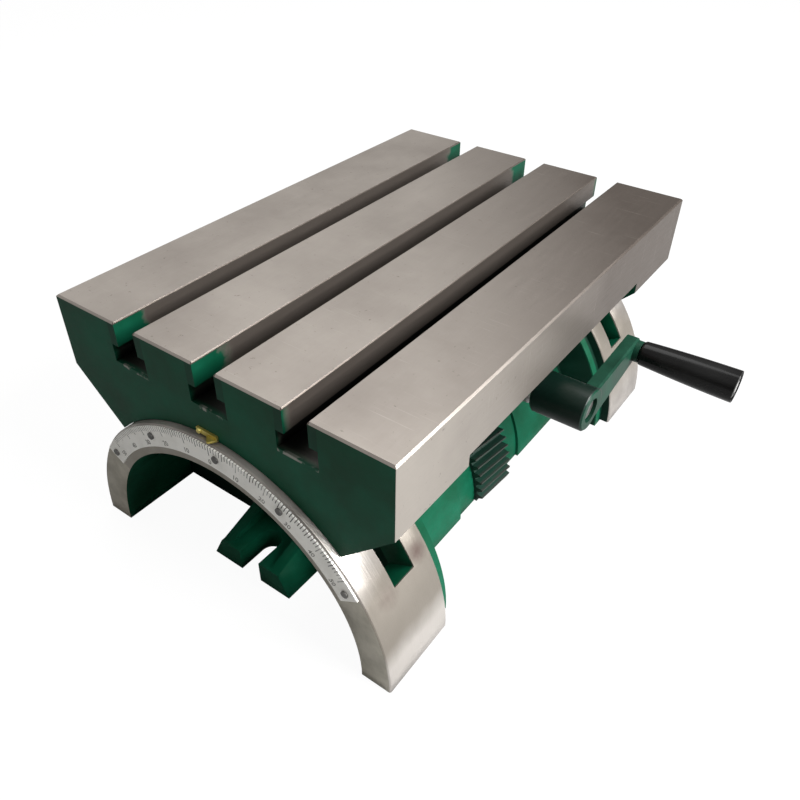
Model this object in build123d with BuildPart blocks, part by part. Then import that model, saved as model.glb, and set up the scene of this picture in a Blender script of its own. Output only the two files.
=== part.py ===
from build123d import *
import os
from math import cos, pi, radians, sin, tan

# Tilting angle table: a slotted table tilts on two half rings of a cast base.
# A hand crank turns a worm that the table carries, and the worm walks along a
# toothed sector that is fixed to the middle of the base.
# All sizes are in millimetres. X runs across the table, Y along the tilt axis
# and Z up. The origin is on the foot face of the base, at the middle of the
# tilt axis. The graduated ring faces -Y and the crank is on the +X side.

# Base casting
base_length = 260.0
ring_radius = 90.0
ring_wall = 15.0
ring_width = 42.0
ring_slot_width = 13.5
ring_slot_inset = 24.0
ring_slot_angle = 61.5
ring_chamfer = 0.6
bulkhead_radius = 85.0
bulkhead_thickness = 7.5
core_drop = 2.0
core_wall = 10.0
core_chamfer = 4.0
relief_depth = 1.5
relief_width = 60.0

# Slotted hold-down lug inside each end of the base
lug_length = 31.5
lug_height = 12.0
lug_foot_width = 48.0
lug_top_width = 36.0
lug_slot_width = 12.0
lug_slot_depth = 20.0
lug_rib_thickness = 5.5
lug_rib_height = 10.0

# Toothed sector and worm
gear_module = 1.5
sector_teeth = 84
sector_width = 29.0
sector_seat_depth = 5.0
sector_foot_gap = 0.5
worm_starts = 2
worm_pitch_radius = 11.5
worm_length = 40.0
worm_hub_length = 8.0
worm_steps_per_turn = 18
worm_pin_radius = 1.5
worm_pin_inset = 0.4
flank_angle = 20.0
backlash = 0.5
seat_gap = 0.1
sector_screw_angles = (-62.0, -25.0, 25.0, 62.0)
sector_screw_diameter = 5.0
sector_screw_reach = 3.5

# Table casting
table_width = 178.0
table_length = 260.0
ring_stand = 3.3
plate_thickness = 29.7
saddle_crown = 5.0
saddle_gap = 0.3
saddle_width = 48.0
saddle_angle = 45.0
bench_gap = 0.5
slot_pitch = 45.5
slot_neck_width = 12.0
slot_neck_depth = 11.5
slot_wide_width = 20.0
slot_wide_height = 8.5
edge_chamfer = 0.8
slot_chamfer = 0.4
pad_height = 3.0

# Clamp bolts and their shoes, two in each ring slot
clamp_angle = 11.5
clamp_bolt_diameter = 12.0
clamp_thread_reach = 19.0
clamp_head_flats = 18.0
clamp_head_height = 7.5
clamp_shoe_length = 26.0
clamp_shoe_width = 20.0
clamp_shoe_thickness = 6.0
clamp_shoe_round = 2.0
clamp_bolt_chamfer = 1.0
thread_clearance = 0.05
bolt_hole_clearance = 0.5

# Worm bracket under the table
bracket_length = 120.0
bracket_width = 54.0
flange_thickness = 7.5
bearing_length = 14.0
bearing_radius = 12.0
worm_end_gap = 0.3
worm_side_gap = 2.0
sleeve_radius = 10.25
sleeve_end = 71.0
bracket_screw_diameter = 6.0
bracket_screw_inset = 8.0
bracket_screw_reach = 10.0

# Bushes and shaft
shaft_diameter = 12.0
bush_wall = 1.5
bush_flange = 2.5
bush_flange_radius = 9.5
running_gap = 0.04
end_bush_length = 12.0
nut_thickness = 6.0
nut_flats = 17.0
washer_thickness = 1.6
washer_radius = 9.0
collar_radius = 8.0
collar_length = 6.0
collar_screw_radius = 1.5
screw_recess = 0.4
stub_step = 1.0
stub_stand = 2.0
face_gap = 0.3

# Crank and grip
crank_rest_angle = 7.0
crank_radius = 49.3
hub_radius = 10.5
hub_length = 26.5
hub_start = 80.0
hub_chamfer = 1.2
arm_thickness = 6.2
arm_tip_radius = 6.2
arm_root_radius = 9.3
arm_chamfer = 0.9
tip_boss_radius = 5.4
tip_boss_height = 2.7
shaft_recess = 1.5
set_screw_diameter = 5.0
set_screw_inset = 7.0
spindle_diameter = 6.0
spindle_head_radius = 3.6
spindle_head_height = 2.0
spindle_slot_width = 1.0
spindle_slot_depth = 0.8
grip_length = 46.0
grip_inner_radius = 6.1
grip_outer_radius = 7.4
grip_round = 1.2
grip_gap = 0.3
grip_recess = 2.6

# Angle scale and pointer
scale_thickness = 0.8
scale_angle = 56.5
scale_inner_radius = 79.0
scale_outer_radius = 89.3
rivet_radius_on_ring = 84.5
rivet_angles = (-54.0, -26.0, 2.5, 26.0, 54.0)
rivet_shank_radius = 1.0
rivet_head_radius = 1.7
rivet_head_height = 0.7
rivet_depth = 4.0
pointer_thickness = 1.0
pointer_left_x = -9.0
pointer_right_x = 2.6
pointer_height = 2.4
pointer_clearance = 0.5
pointer_tab_width = 6.0
pointer_tab_reach = 3.8
pointer_tip_width = 0.8
pointer_screw_x = -7.3
pointer_screw_radius = 0.7
pointer_screw_depth = 5.0

# Worked out from the sizes above
ring_bore = ring_radius - ring_wall
ring_front_y = -base_length / 2
ring_back_y = ring_front_y + ring_width
ring_slot_y = ring_front_y + ring_slot_inset
saddle_radius = ring_radius + saddle_gap
plate_bottom = saddle_radius + saddle_crown
table_top = plate_bottom + plate_thickness
table_front_y = ring_front_y + ring_stand
table_back_y = table_front_y + table_length
pad_bottom = plate_bottom - pad_height
sector_pitch_radius = gear_module * sector_teeth / 2
sector_root_radius = sector_pitch_radius - 1.25 * gear_module
core_radius = sector_pitch_radius - core_drop
sector_seat_radius = core_radius - sector_seat_depth
worm_axis_z = sector_pitch_radius + worm_pitch_radius
worm_tip_radius = worm_pitch_radius + gear_module
worm_root_radius = worm_pitch_radius - 1.25 * gear_module
worm_lead = pi * gear_module * worm_starts
tooth_half_width = (pi * gear_module / 2 - backlash) / 2
sector_tooth_turn = 360 / sector_teeth
tooth_slant = worm_lead / (2 * pi * worm_pitch_radius)
sector_twist = sector_width / 2 * tooth_slant / sector_pitch_radius * 180 / pi
shaft_radius = shaft_diameter / 2
bush_radius = shaft_radius + bush_wall
worm_right_x = worm_length / 2
worm_left_x = -worm_right_x - worm_hub_length
right_bearing_x = worm_right_x + worm_end_gap + bush_flange
left_bearing_x = worm_left_x - worm_end_gap - bush_flange
bracket_bore = bush_radius + seat_gap / 2
spindle_radius = spindle_diameter / 2
far = 4 * ring_radius

os.makedirs("parts", exist_ok=True)


def radial_plane(angle, radius, y):
    """Plane at an angle from the vertical, facing outwards from the tilt axis."""
    across = sin(radians(angle))
    up = cos(radians(angle))
    return Plane(origin=(radius * across, y, radius * up), x_dir=(0, 1, 0), z_dir=(across, 0, up))


def cross_plane(y):
    """Upright plane across the tilt axis, drawn with X to the right and Z up."""
    return Plane.XZ.offset(-y)


def wedge(angle, apex=0.0):
    """Outline of all that lies within an angle of the vertical, above its apex."""
    side = far * sin(radians(angle))
    edge_z = apex + far * cos(radians(angle))
    return [(0, apex), (side, edge_z), (side, 2 * far), (-side, 2 * far), (-side, edge_z)]


def half_ring(outer, inner=0.0):
    """Half disc or half ring that stands on the foot face."""
    Circle(outer)
    if inner > 0:
        Circle(inner, mode=Mode.SUBTRACT)
    Rectangle(2 * outer, outer, align=(Align.CENTER, Align.MIN), mode=Mode.INTERSECT)


def rack_outline(height_below, height_above):
    """Straight-sided tooth with its pitch line on the sketch's x axis."""
    slope = tan(radians(flank_angle))
    root = tooth_half_width + height_below * slope
    tip = tooth_half_width - height_above * slope
    return [(-root, -height_below), (root, -height_below), (tip, height_above), (-tip, height_above)]


def save(builder, name):
    """Name the finished piece and write it."""
    builder.part.label = name
    export_step(builder.part, f"parts/{name}.step")


# Base casting: two machined half rings, each with a web behind it, joined by a
# hollow half-round core that stands on the same foot face.
core_start_y = ring_back_y + bulkhead_thickness
rivet_places = [
    (rivet_radius_on_ring * sin(radians(angle)), rivet_radius_on_ring * cos(radians(angle)))
    for angle in rivet_angles
]
lug_front_y = ring_back_y - lug_length
slot_end_y = lug_front_y + lug_slot_depth
with BuildPart() as base_casting:
    with BuildSketch(cross_plane(ring_front_y)):
        half_ring(ring_radius, ring_bore)
    extrude(amount=-ring_width)
    ring_rims = base_casting.edges().filter_by(GeomType.CIRCLE).filter_by(
        lambda edge: edge.radius > ring_radius - 1
    )
    chamfer(ring_rims, ring_chamfer)
    with BuildSketch(cross_plane(ring_back_y)):
        half_ring(bulkhead_radius)
    extrude(amount=-bulkhead_thickness)
    with BuildSketch(cross_plane(core_start_y)):
        half_ring(core_radius)
    extrude(amount=core_start_y)
    core_foot = base_casting.edges().filter_by(GeomType.CIRCLE).filter_by(
        lambda edge: abs(edge.radius - core_radius) < 0.01 and abs(edge.center().Y - core_start_y) < 0.01
    )
    chamfer(core_foot, core_chamfer)
    with BuildSketch(cross_plane(core_start_y)):
        half_ring(core_radius - core_wall)
    extrude(amount=core_start_y, mode=Mode.SUBTRACT)
    with BuildSketch(cross_plane(-relief_width / 2)):
        half_ring(core_radius + 1, core_radius - relief_depth)
    extrude(amount=-relief_width / 2, mode=Mode.SUBTRACT)
    with BuildSketch(cross_plane(-sector_width / 2 - seat_gap)):
        half_ring(core_radius + 1, sector_seat_radius)
    extrude(amount=-sector_width / 2 - seat_gap, mode=Mode.SUBTRACT)
    with BuildSketch(cross_plane(ring_slot_y - ring_slot_width / 2)):
        Circle(ring_radius + 1)
        Circle(ring_bore - 1, mode=Mode.SUBTRACT)
        Polygon(*wedge(ring_slot_angle), align=None, mode=Mode.INTERSECT)
    extrude(amount=-ring_slot_width, mode=Mode.SUBTRACT)
    with BuildSketch(cross_plane(lug_front_y)):
        with BuildLine():
            Polyline(
                (-lug_foot_width / 2, 0),
                (lug_foot_width / 2, 0),
                (lug_top_width / 2, lug_height),
                (-lug_top_width / 2, lug_height),
                close=True,
            )
        make_face()
    extrude(amount=-lug_length)
    for side in (-1, 1):
        rib_x = side * (lug_top_width - lug_rib_thickness) / 2
        with BuildSketch(Plane.YZ.offset(rib_x)):
            with BuildLine():
                Polyline(
                    (lug_front_y + 2, lug_height - 2),
                    (ring_back_y, lug_height - 2),
                    (ring_back_y, lug_height + lug_rib_height),
                    (lug_front_y + 2, lug_height),
                    close=True,
                )
            make_face()
        extrude(amount=lug_rib_thickness / 2, both=True)
    with BuildSketch():
        with Locations((0, slot_end_y - lug_slot_width / 2)):
            Circle(lug_slot_width / 2)
            Rectangle(lug_slot_width, lug_slot_depth + 2, align=(Align.CENTER, Align.MAX))
    extrude(amount=lug_height + 1, mode=Mode.SUBTRACT)
    mirror(about=Plane.XZ)
    for angle in sector_screw_angles:
        with Locations(Location(radial_plane(angle, core_radius - core_wall, 0))):
            Cylinder(
                sector_screw_diameter / 2 + bolt_hole_clearance / 2,
                core_wall,
                align=(Align.CENTER, Align.CENTER, Align.MIN),
                mode=Mode.SUBTRACT,
            )
            Cylinder(
                sector_screw_diameter,
                2 * bolt_hole_clearance,
                align=(Align.CENTER, Align.CENTER, Align.CENTER),
                mode=Mode.SUBTRACT,
            )
    with BuildSketch(cross_plane(ring_front_y)):
        with Locations(*rivet_places):
            Circle(rivet_shank_radius + seat_gap / 2)
    extrude(amount=-rivet_depth, mode=Mode.SUBTRACT)
save(base_casting, "base_casting")


# Toothed sector: a half ring let into a groove of the core, with slanted teeth
# that match the worm's lead. One tooth space stands at the top.
def sector_tooth_plane(y, twist):
    """Upright plane across the tilt axis, turned about it by a small twist."""
    turn = radians(twist)
    return Plane(origin=(0, y, 0), x_dir=(cos(turn), 0, -sin(turn)), z_dir=(0, -1, 0))


tooth_foot = sector_root_radius - seat_gap
tooth_points = [
    (x, sector_pitch_radius + z)
    for x, z in rack_outline(sector_pitch_radius - tooth_foot, gear_module)
]
with BuildPart() as sector_tooth:
    for end in (-1, 1):
        with BuildSketch(sector_tooth_plane(end * sector_width / 2, end * sector_twist)):
            Polygon(*tooth_points, align=None)
    loft(ruled=True)

teeth_per_side = int(90 / sector_tooth_turn)
tooth_turns = [(i + 0.5) * sector_tooth_turn for i in range(-teeth_per_side, teeth_per_side)]
with BuildPart() as worm_sector:
    with BuildSketch(cross_plane(-sector_width / 2)):
        half_ring(sector_root_radius, sector_seat_radius + seat_gap)
    extrude(amount=-sector_width)
    with Locations(*[Location((0, 0, 0), (0, turn, 0)) for turn in tooth_turns]):
        add(sector_tooth.part)
    with Locations((0, 0, sector_foot_gap)):
        Box(far, far, far, align=(Align.CENTER, Align.CENTER, Align.MIN), mode=Mode.INTERSECT)
    for angle in sector_screw_angles:
        with Locations(Location(radial_plane(angle, sector_seat_radius, 0))):
            Cylinder(
                sector_screw_diameter / 2 + seat_gap / 2,
                sector_screw_reach + seat_gap,
                align=(Align.CENTER, Align.CENTER, Align.MIN),
                mode=Mode.SUBTRACT,
            )
save(worm_sector, "worm_sector")

# Cap screws that hold the sector from inside the core
seat_face = core_radius - core_wall + bolt_hole_clearance
with BuildPart() as sector_screws:
    for angle in sector_screw_angles:
        screw_axis = radial_plane(angle, seat_face, 0)
        with BuildSketch(screw_axis):
            Circle(sector_screw_diameter / 2)
        extrude(amount=sector_seat_radius + sector_screw_reach - seat_face)
        with BuildSketch(screw_axis):
            Circle(0.85 * sector_screw_diameter)
        extrude(amount=-sector_screw_diameter)
        with BuildSketch(screw_axis.offset(-sector_screw_diameter)):
            RegularPolygon(sector_screw_diameter * 0.45, 6)
        extrude(amount=sector_screw_diameter / 2, mode=Mode.SUBTRACT)
save(sector_screws, "sector_screws")

# Angle scale: a thin arc of plate on the front ring, and the rivets through it
with BuildPart() as scale_plate:
    with BuildSketch(cross_plane(ring_front_y)):
        Circle(scale_outer_radius)
        Circle(scale_inner_radius, mode=Mode.SUBTRACT)
        Polygon(*wedge(scale_angle), align=None, mode=Mode.INTERSECT)
        with Locations(*rivet_places):
            Circle(rivet_shank_radius + seat_gap / 2, mode=Mode.SUBTRACT)
    extrude(amount=scale_thickness)
save(scale_plate, "scale_plate")

with BuildPart() as scale_rivets:
    with BuildSketch(cross_plane(ring_front_y - scale_thickness)):
        with Locations(*rivet_places):
            Circle(rivet_shank_radius)
    extrude(amount=-scale_thickness - rivet_depth + seat_gap)
    with BuildSketch(cross_plane(ring_front_y - scale_thickness)):
        with Locations(*rivet_places):
            Circle(rivet_head_radius)
    extrude(amount=rivet_head_height)
save(scale_rivets, "scale_rivets")

# Table casting: a thick plate with T-slots, carried on a saddle at each end
clamp_names = ("front_left", "front_right", "rear_left", "rear_right")
clamp_places = [(side * clamp_angle, end * ring_slot_y) for end in (1, -1) for side in (-1, 1)]
bolt_seat_radius = ring_bore - saddle_gap - clamp_shoe_thickness
bolt_end_radius = saddle_radius + clamp_thread_reach
slot_depth = slot_neck_depth + slot_wide_height
pointer_bottom = saddle_radius + pointer_clearance
pointer_screw_z = pointer_bottom + pointer_height / 2
bracket_screw_x = bracket_length / 2 - bracket_screw_inset
bracket_screw_y = bracket_width / 2 - bracket_screw_inset
with BuildPart() as table_casting:
    with BuildSketch(cross_plane(table_front_y)):
        with Locations((0, plate_bottom)):
            Rectangle(table_width, plate_thickness, align=(Align.CENTER, Align.MIN))
    extrude(amount=-table_length)
    for saddle_y in (table_front_y, table_back_y - saddle_width):
        with BuildSketch(cross_plane(saddle_y)):
            Rectangle(table_width, plate_bottom, align=(Align.CENTER, Align.MIN))
            Polygon(*wedge(saddle_angle, bench_gap), align=None, mode=Mode.INTERSECT)
            Circle(saddle_radius, mode=Mode.SUBTRACT)
        extrude(amount=-saddle_width)
    with BuildSketch(Plane.XY.offset(pad_bottom)):
        Rectangle(bracket_length, bracket_width)
        fillet(vertices(), bracket_screw_inset)
    extrude(amount=pad_height)
    top_edges = table_casting.faces().sort_by(Axis.Z)[-1].edges()
    chamfer(top_edges, edge_chamfer)
    with BuildSketch(cross_plane(table_front_y)):
        for slot_x in (-slot_pitch, 0, slot_pitch):
            with Locations((slot_x, table_top)):
                Rectangle(slot_neck_width, slot_depth, align=(Align.CENTER, Align.MAX))
            with Locations((slot_x, table_top - slot_neck_depth)):
                Rectangle(slot_wide_width, slot_wide_height, align=(Align.CENTER, Align.MAX))
    extrude(amount=-table_length, mode=Mode.SUBTRACT)
    slot_edges = table_casting.edges().filter_by(Axis.Y).filter_by(
        lambda edge: edge.center().Z > table_top - 0.01 and edge.length > table_length - 3 * edge_chamfer
    )
    slot_mouths = slot_edges.filter_by(lambda edge: abs(edge.center().X) < slot_pitch + slot_neck_width)
    chamfer(slot_mouths, slot_chamfer)
    for angle, y in clamp_places:
        with BuildSketch(radial_plane(angle, ring_bore, y)):
            Circle(clamp_bolt_diameter / 2 + thread_clearance)
        extrude(amount=bolt_end_radius - ring_bore + bolt_hole_clearance, mode=Mode.SUBTRACT)
    with BuildSketch(Plane.XY.offset(pad_bottom)):
        with GridLocations(2 * bracket_screw_x, 2 * bracket_screw_y, 2, 2):
            Circle(bracket_screw_diameter / 2 + thread_clearance)
    extrude(amount=bracket_screw_reach + bolt_hole_clearance, mode=Mode.SUBTRACT)
    with BuildSketch(cross_plane(table_front_y)):
        with Locations((pointer_screw_x, pointer_screw_z)):
            Circle(pointer_screw_radius + thread_clearance)
    extrude(amount=-pointer_screw_depth - bolt_hole_clearance, mode=Mode.SUBTRACT)
save(table_casting, "table_casting")

# Brass pointer: a strip on the table's front end, with a tab bent forward over
# the ring's rim. The tab's tip stands at the middle of the scale.
with BuildPart() as angle_pointer:
    with BuildSketch(cross_plane(table_front_y)):
        with Locations((pointer_left_x, pointer_bottom)):
            Rectangle(pointer_right_x - pointer_left_x, pointer_height, align=Align.MIN)
        with Locations((pointer_screw_x, pointer_screw_z)):
            Circle(pointer_screw_radius + seat_gap, mode=Mode.SUBTRACT)
    extrude(amount=pointer_thickness)
    with BuildSketch(Plane.XY.offset(pointer_bottom)):
        with BuildLine():
            Polyline(
                (-pointer_tab_width / 2, table_front_y - pointer_thickness),
                (-pointer_tip_width / 2, table_front_y - pointer_tab_reach),
                (pointer_tip_width / 2, table_front_y - pointer_tab_reach),
                (pointer_right_x, table_front_y - pointer_thickness),
                close=True,
            )
        make_face()
    extrude(amount=pointer_thickness)
save(angle_pointer, "angle_pointer")

pointer_face_y = table_front_y - pointer_thickness
with BuildPart() as pointer_screw:
    with BuildSketch(cross_plane(pointer_face_y)):
        with Locations((pointer_screw_x, pointer_screw_z)):
            Circle(pointer_screw_radius)
    extrude(amount=-pointer_thickness - pointer_screw_depth)
    with BuildSketch(cross_plane(pointer_face_y)):
        with Locations((pointer_screw_x, pointer_screw_z)):
            Circle(1.9 * pointer_screw_radius)
    extrude(amount=pointer_screw_radius, taper=20)
save(pointer_screw, "pointer_screw")

# Clamp shoes and bolts, two at each ring. A shoe hugs the inside of the ring,
# and its bolt passes the ring slot and is threaded into the saddle above.
for place_name, (angle, y) in zip(clamp_names, clamp_places):
    bolt_axis = radial_plane(angle, bolt_seat_radius, y)
    with BuildPart() as clamp_shoe:
        with BuildSketch(bolt_axis):
            Rectangle(clamp_shoe_length, clamp_shoe_width)
            fillet(vertices(), clamp_shoe_round)
            Circle(clamp_bolt_diameter / 2 + bolt_hole_clearance, mode=Mode.SUBTRACT)
        extrude(amount=2 * clamp_shoe_thickness)
        with BuildSketch(cross_plane(-base_length)):
            Circle(ring_bore - saddle_gap)
        extrude(amount=-2 * base_length, mode=Mode.INTERSECT)
    save(clamp_shoe, f"clamp_shoe_{place_name}")

    with BuildPart() as clamp_bolt:
        with BuildSketch(bolt_axis.offset(-clamp_head_height)):
            RegularPolygon(clamp_head_flats / 2, 6, major_radius=False)
        extrude(amount=clamp_head_height)
        with BuildSketch(bolt_axis):
            Circle(clamp_bolt_diameter / 2)
        extrude(amount=bolt_end_radius - bolt_seat_radius)
        bolt_end = radial_plane(angle, bolt_end_radius, y).origin
        bolt_rims = clamp_bolt.edges().filter_by(GeomType.CIRCLE)
        chamfer(bolt_rims.sort_by_distance(bolt_end)[0], clamp_bolt_chamfer)
    save(clamp_bolt, f"clamp_bolt_{place_name}")


# Worm bracket: a flanged casting screwed to the pad under the table, with a
# bearing lug at each end of the worm and a long sleeve out to the crank.
def shaft_plane(x):
    """Plane across the worm shaft, facing +X, centred on the shaft's axis."""
    return Plane(origin=(x, 0, worm_axis_z), x_dir=(0, 1, 0), z_dir=(1, 0, 0))


flange_bottom = pad_bottom - flange_thickness
sleeve_start_x = right_bearing_x + bearing_length
with BuildPart() as worm_bracket:
    with BuildSketch(Plane.XY.offset(flange_bottom)):
        Rectangle(bracket_length, bracket_width)
        fillet(vertices(), bracket_screw_inset)
    extrude(amount=flange_thickness)
    for lug_x in (right_bearing_x, left_bearing_x - bearing_length):
        with BuildSketch(shaft_plane(lug_x)):
            Circle(bearing_radius)
            Rectangle(2 * bearing_radius, pad_bottom - worm_axis_z, align=(Align.CENTER, Align.MIN))
        extrude(amount=bearing_length)
    with BuildSketch(shaft_plane(sleeve_start_x)):
        Circle(sleeve_radius)
    extrude(amount=sleeve_end - sleeve_start_x)
    with BuildSketch(Plane.XY.offset(pad_bottom)):
        with Locations(((right_bearing_x + left_bearing_x) / 2, 0)):
            Rectangle(right_bearing_x - left_bearing_x, 2 * (worm_tip_radius + worm_side_gap))
    extrude(amount=-flange_thickness, mode=Mode.SUBTRACT)
    with BuildSketch(shaft_plane(-bracket_length)):
        Circle(bracket_bore)
    extrude(amount=2 * bracket_length, mode=Mode.SUBTRACT)
    with BuildSketch(Plane.XY.offset(flange_bottom)):
        with GridLocations(2 * bracket_screw_x, 2 * bracket_screw_y, 2, 2):
            Circle(bracket_screw_diameter / 2 + bolt_hole_clearance / 2)
    extrude(amount=flange_thickness, mode=Mode.SUBTRACT)
save(worm_bracket, "worm_bracket")

# Cap screws that hold the bracket to the table
with BuildPart() as bracket_screws:
    with BuildSketch(Plane.XY.offset(flange_bottom)):
        with GridLocations(2 * bracket_screw_x, 2 * bracket_screw_y, 2, 2):
            Circle(bracket_screw_diameter / 2)
    extrude(amount=flange_thickness + bracket_screw_reach)
    with BuildSketch(Plane.XY.offset(flange_bottom - bracket_screw_diameter)):
        with GridLocations(2 * bracket_screw_x, 2 * bracket_screw_y, 2, 2):
            Circle(0.8 * bracket_screw_diameter)
            RegularPolygon(0.45 * bracket_screw_diameter, 6, mode=Mode.SUBTRACT)
    extrude(amount=bracket_screw_diameter / 2)
    with BuildSketch(Plane.XY.offset(flange_bottom - bracket_screw_diameter / 2)):
        with GridLocations(2 * bracket_screw_x, 2 * bracket_screw_y, 2, 2):
            Circle(0.8 * bracket_screw_diameter)
    extrude(amount=bracket_screw_diameter / 2)
save(bracket_screws, "bracket_screws")


# Bronze bushes: a flanged one in each lug, and a plain one at the sleeve's end
bush_tubes = {
    "bush_right": (
        (right_bearing_x, bearing_length, bush_radius),
        (right_bearing_x - bush_flange, bush_flange, bush_flange_radius),
    ),
    "bush_left": (
        (left_bearing_x - bearing_length, bearing_length, bush_radius),
        (left_bearing_x, bush_flange, bush_flange_radius),
    ),
    "bush_outer": ((sleeve_end - end_bush_length, end_bush_length, bush_radius),),
}
for bush_name, tubes in bush_tubes.items():
    with BuildPart() as bush:
        for tube_x, tube_length, tube_radius in tubes:
            with BuildSketch(shaft_plane(tube_x)):
                Circle(tube_radius)
                Circle(shaft_radius + running_gap, mode=Mode.SUBTRACT)
            extrude(amount=tube_length)
    save(bush, bush_name)

# Worm: one cross-section, turned a little further at each step along the shaft.
# Flat triangles join each section to the next. A thread points straight down at
# the middle of the worm, into the sector's top space.
flank_radii = (worm_root_radius, worm_pitch_radius, worm_tip_radius)
corner_radii = (*flank_radii, worm_tip_radius, *reversed(flank_radii))
corner_sides = (-1, -1, -1, 0, 1, 1, 1)


def worm_point(x, radius, turn):
    """Point at a radius and an angle round the worm's axis."""
    return (x, radius * cos(radians(turn)), worm_axis_z + radius * sin(radians(turn)))


def thread_outline(x):
    """Cross-section at x: straight flanks from root to tip, one lobe per start."""
    points = []
    for start in range(worm_starts):
        lobe_turn = x * 360 / worm_lead - 90 + start * 360 / worm_starts
        for radius, side in zip(corner_radii, corner_sides):
            half_width = tooth_half_width - (radius - worm_pitch_radius) * tan(radians(flank_angle))
            points.append(worm_point(x, radius, lobe_turn + side * half_width * 360 / worm_lead))
        points.append(worm_point(x, worm_root_radius, lobe_turn + 180 / worm_starts))
    return points


def flat_face(*points):
    """Flat face with these corners."""
    return Face(Wire.make_polygon(points, close=True))


worm_steps = round(worm_length / worm_lead * worm_steps_per_turn)
worm_sections = [
    thread_outline(-worm_right_x + worm_length * step / worm_steps) for step in range(worm_steps + 1)
]
thread_faces = [flat_face(*worm_sections[0]), flat_face(*worm_sections[-1])]
for near, ahead in zip(worm_sections, worm_sections[1:]):
    for i in range(len(near)):
        thread_faces.append(flat_face(near[i - 1], near[i], ahead[i]))
        thread_faces.append(flat_face(near[i - 1], ahead[i], ahead[i - 1]))
pin_x = worm_left_x + worm_hub_length / 2
pin_plane = Plane(origin=(pin_x, -worm_root_radius, worm_axis_z), x_dir=(1, 0, 0), z_dir=(0, 1, 0))
with BuildPart() as worm:
    add(Solid(Shell(thread_faces)))
    with BuildSketch(shaft_plane(worm_left_x)):
        Circle(worm_root_radius)
    extrude(amount=worm_hub_length)
    with BuildSketch(shaft_plane(worm_left_x)):
        Circle(shaft_radius + seat_gap / 2)
    extrude(amount=worm_hub_length + worm_length, mode=Mode.SUBTRACT)
    with BuildSketch(pin_plane):
        Circle(worm_pin_radius + seat_gap / 2)
    extrude(amount=2 * worm_root_radius, mode=Mode.SUBTRACT)
save(worm, "worm")

# Cross pin that fixes the worm on its shaft
with BuildPart() as worm_pin:
    with BuildSketch(pin_plane.offset(worm_pin_inset)):
        Circle(worm_pin_radius)
    extrude(amount=2 * (worm_root_radius - worm_pin_inset))
save(worm_pin, "worm_pin")

# Worm shaft: one bar from the end nut to the crank
left_lug_face = left_bearing_x - bearing_length
shoulder_x = left_lug_face - face_gap
stub_end_x = shoulder_x - washer_thickness - nut_thickness - stub_stand
stub_radius = shaft_radius - stub_step
hub_end_x = hub_start + hub_length
with BuildPart() as worm_shaft:
    with BuildSketch(shaft_plane(shoulder_x)):
        Circle(shaft_radius)
    extrude(amount=hub_end_x - shaft_recess - shoulder_x)
    with BuildSketch(shaft_plane(stub_end_x)):
        Circle(stub_radius)
    extrude(amount=shoulder_x - stub_end_x)
    chamfer(worm_shaft.edges().group_by(Axis.X)[0], stub_step)
    chamfer(worm_shaft.edges().group_by(Axis.X)[-1], stub_step)
    with BuildSketch(pin_plane):
        Circle(worm_pin_radius + seat_gap / 2)
    extrude(amount=2 * worm_root_radius, mode=Mode.SUBTRACT)
save(worm_shaft, "worm_shaft")

with BuildPart() as shaft_washer:
    with BuildSketch(shaft_plane(shoulder_x - washer_thickness)):
        Circle(washer_radius)
        Circle(stub_radius + thread_clearance, mode=Mode.SUBTRACT)
    extrude(amount=washer_thickness)
save(shaft_washer, "shaft_washer")

with BuildPart() as shaft_nut:
    with BuildSketch(shaft_plane(shoulder_x - washer_thickness - nut_thickness)):
        RegularPolygon(nut_flats / 2, 6, major_radius=False)
        Circle(stub_radius + thread_clearance, mode=Mode.SUBTRACT)
    extrude(amount=nut_thickness)
save(shaft_nut, "shaft_nut")

# Thrust collar outside the sleeve, held by a grub screw
collar_x = sleeve_end + face_gap
collar_screw_plane = Plane(
    origin=(collar_x + collar_length / 2, 0, worm_axis_z), x_dir=(1, 0, 0), z_dir=(0, 0, 1)
)
with BuildPart() as thrust_collar:
    with BuildSketch(shaft_plane(collar_x)):
        Circle(collar_radius)
        Circle(shaft_radius + seat_gap / 2, mode=Mode.SUBTRACT)
    extrude(amount=collar_length)
    with BuildSketch(collar_screw_plane):
        Circle(collar_screw_radius + thread_clearance)
    extrude(amount=collar_radius, mode=Mode.SUBTRACT)
save(thrust_collar, "thrust_collar")

with BuildPart() as collar_screw:
    with BuildSketch(collar_screw_plane.offset(shaft_radius + thread_clearance)):
        Circle(collar_screw_radius)
    extrude(amount=collar_radius - shaft_radius - screw_recess)
save(collar_screw, "collar_screw")

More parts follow.
